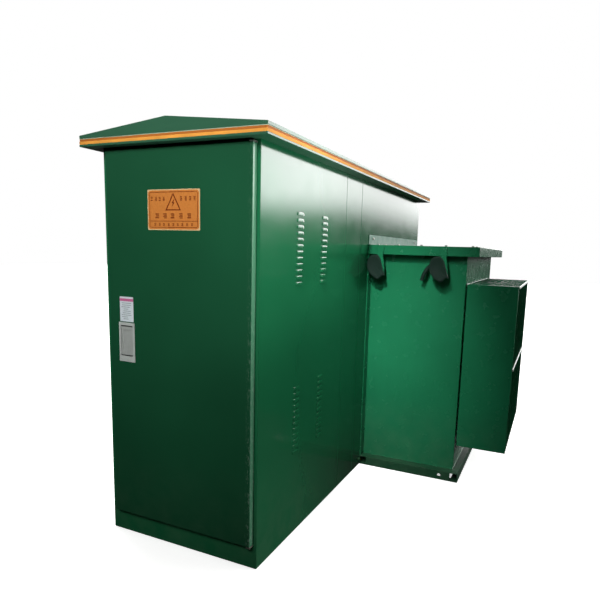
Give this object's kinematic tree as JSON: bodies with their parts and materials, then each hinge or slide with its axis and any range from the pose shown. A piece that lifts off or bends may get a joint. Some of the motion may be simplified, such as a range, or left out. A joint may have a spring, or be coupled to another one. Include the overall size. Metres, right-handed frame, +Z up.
{
  "type": "pad-mounted transformer",
  "caption": "Green pad-mounted transformer: walk-round cabinet with hinged compartment doors and louvres, overhanging gabled roof, rear oil tank with bolted lid and radiator bank.",
  "frame": {"origin": "centre of the footprint on the ground, under the middle of the whole object's box", "axes": "+Z up; X along the cabinet with the capacitor compartment door at +X; the high and low voltage doors face -Y; the oil tank and radiators are at +Y"},
  "size_m": [2.866, 1.886, 2.016],
  "materials": {
    "base_paint": "satin dark green paint on channel steel",
    "zinc_plate": "passivated zinc plate",
    "cabinet_paint": "glossy green powder coat with fine orange peel",
    "door_paint": "glossy dark green powder coat with fine orange peel",
    "orange_band": "gloss orange stripes",
    "seal_rubber": "matt black rubber",
    "stainless": "satin stainless steel",
    "orange_plate": "printed plate, satin",
    "tank_paint": "glossy green paint",
    "hook_paint": "dark paint in shade, satin",
    "core_steel": "laminated electrical steel",
    "winding_paper": "insulating paper over copper",
    "clamp_paint": "grey primer",
    "bushing_resin": "glazed brown-red insulator",
    "black_plastic": "moulded black plastic",
    "red_paint": "red moulded grip",
    "gauge_enamel": "white enamel dial in a pressed case",
    "copper_bar": "bare copper bar",
    "valve_brass": "cast brass",
    "can_aluminium": "drawn aluminium can"
  },
  "bodies": {
    "cabinet": {"skid_base": "base_paint", "floor_plates": "zinc_plate", "end_frame": "cabinet_paint", "front_frame": "cabinet_paint", "front_panel": "cabinet_paint", "far_wall": "cabinet_paint", "partition_hv": "zinc_plate", "partition_lv": "zinc_plate", "back_panel_louvred": "cabinet_paint", "back_cover_strip": "cabinet_paint", "back_panel_upper": "cabinet_paint", "roof": "cabinet_paint", "roof_band": "orange_band", "door_pivots": "zinc_plate", "tank": "tank_paint", "tank_lid": "tank_paint", "lid_gasket": "seal_rubber", "cover_bolts": "zinc_plate", "hook_brackets": "tank_paint", "lifting_hooks": "hook_paint", "flashing_plate": "tank_paint", "radiator_panels": "tank_paint", "radiator_headers": "tank_paint", "radiator_braces": "tank_paint", "core": "core_steel", "windings": "winding_paper", "core_clamps": "clamp_paint", "hv_bushings": "bushing_resin", "fuse_holders": "black_plastic", "gauges": "gauge_enamel", "lv_bushings": "bushing_resin", "lv_busbars": "copper_bar", "lv_breaker": "black_plastic", "drain_valve": "valve_brass", "capacitor_rack": "zinc_plate", "capacitor_cans": "can_aluminium"},
    "end_door": {"end_door": "door_paint", "end_door_seal": "seal_rubber", "end_door_lock": "stainless", "warning_plate": "orange_plate"},
    "end_door_paddle": {"end_door_paddle": "stainless"},
    "end_door_rod_up": {"end_door_rod_up": "zinc_plate"},
    "end_door_rod_down": {"end_door_rod_down": "zinc_plate"},
    "hv_door": {"hv_door": "door_paint", "hv_door_seal": "seal_rubber", "hv_door_lock": "stainless"},
    "hv_door_paddle": {"hv_door_paddle": "stainless"},
    "hv_door_rod_up": {"hv_door_rod_up": "zinc_plate"},
    "hv_door_rod_down": {"hv_door_rod_down": "zinc_plate"},
    "lv_door": {"lv_door": "door_paint", "lv_door_seal": "seal_rubber", "lv_door_lock": "stainless"},
    "lv_door_paddle": {"lv_door_paddle": "stainless"},
    "lv_door_rod_up": {"lv_door_rod_up": "zinc_plate"},
    "lv_door_rod_down": {"lv_door_rod_down": "zinc_plate"},
    "load_switch_handle": {"load_switch_handle": "red_paint"},
    "tap_changer_knob": {"tap_changer_knob": "black_plastic"},
    "lv_breaker_lever": {"lv_breaker_lever": "black_plastic"},
    "drain_lever": {"drain_lever": "red_paint"}
  },
  "joints": [
    {"name": "end_door_hinge", "type": "hinge", "parent": "cabinet", "child": "end_door", "pos_m": [1.384, -0.035, 1], "axis": [0, 0, 1], "range_deg": [0, 110]},
    {"name": "end_door_paddle_pull", "type": "hinge", "parent": "end_door", "child": "end_door_paddle", "pos_m": [1.389, -0.7205, 1.073], "axis": [0, -1, 0], "range_deg": [0, 40], "stiffness_Nm_per_rad": 0.4},
    {"name": "end_door_rod_up_slide", "type": "slide", "parent": "end_door", "child": "end_door_rod_up", "axis": [0, 0, -1], "range_m": [0, 0.02]},
    {"name": "end_door_rod_down_slide", "type": "slide", "parent": "end_door", "child": "end_door_rod_down", "axis": [0, 0, 1], "range_m": [0, 0.02]},
    {"name": "hv_door_hinge", "type": "hinge", "parent": "cabinet", "child": "hv_door", "pos_m": [-1.335, -0.894, 1], "axis": [0, 0, -1], "range_deg": [0, 110]},
    {"name": "hv_door_paddle_pull", "type": "hinge", "parent": "hv_door", "child": "hv_door_paddle", "pos_m": [-0.6795, -0.899, 1.073], "axis": [-1, 0, 0], "range_deg": [0, 40], "stiffness_Nm_per_rad": 0.4},
    {"name": "hv_door_rod_up_slide", "type": "slide", "parent": "hv_door", "child": "hv_door_rod_up", "axis": [0, 0, -1], "range_m": [0, 0.02]},
    {"name": "hv_door_rod_down_slide", "type": "slide", "parent": "hv_door", "child": "hv_door_rod_down", "axis": [0, 0, 1], "range_m": [0, 0.02]},
    {"name": "lv_door_hinge", "type": "hinge", "parent": "cabinet", "child": "lv_door", "pos_m": [0.355, -0.894, 1], "axis": [0, 0, 1], "range_deg": [0, 110]},
    {"name": "lv_door_paddle_pull", "type": "hinge", "parent": "lv_door", "child": "lv_door_paddle", "pos_m": [-0.4455, -0.899, 1.073], "axis": [-1, 0, 0], "range_deg": [0, 40], "stiffness_Nm_per_rad": 0.4},
    {"name": "lv_door_rod_up_slide", "type": "slide", "parent": "lv_door", "child": "lv_door_rod_up", "axis": [0, 0, -1], "range_m": [0, 0.02]},
    {"name": "lv_door_rod_down_slide", "type": "slide", "parent": "lv_door", "child": "lv_door_rod_down", "axis": [0, 0, 1], "range_m": [0, 0.02]},
    {"name": "load_switch_turn", "type": "hinge", "parent": "cabinet", "child": "load_switch_handle", "pos_m": [-0.7, -0.01, 1.2], "axis": [0, -1, 0], "range_deg": [0, 90]},
    {"name": "tap_changer_turn", "type": "hinge", "parent": "cabinet", "child": "tap_changer_knob", "pos_m": [-0.7, -0.01, 1], "axis": [0, -1, 0], "range_deg": [-72, 72]},
    {"name": "breaker_throw", "type": "hinge", "parent": "cabinet", "child": "lv_breaker_lever", "pos_m": [0.11, -0.177, 1.08], "axis": [1, 0, 0], "range_deg": [0, 35]},
    {"name": "drain_lever_turn", "type": "hinge", "parent": "cabinet", "child": "drain_lever", "pos_m": [-1.23, -0.06, 0.2], "axis": [0, 0, 1], "range_deg": [-90, 0]}
  ],
  "couplings": [
    {"joint": "end_door_rod_up_slide", "follows": "end_door_paddle_pull", "m_per_rad": 0.028645},
    {"joint": "end_door_rod_down_slide", "follows": "end_door_paddle_pull", "m_per_rad": 0.028645},
    {"joint": "hv_door_rod_up_slide", "follows": "hv_door_paddle_pull", "m_per_rad": 0.028645},
    {"joint": "hv_door_rod_down_slide", "follows": "hv_door_paddle_pull", "m_per_rad": 0.028645},
    {"joint": "lv_door_rod_up_slide", "follows": "lv_door_paddle_pull", "m_per_rad": 0.028645},
    {"joint": "lv_door_rod_down_slide", "follows": "lv_door_paddle_pull", "m_per_rad": 0.028645}
  ]
}
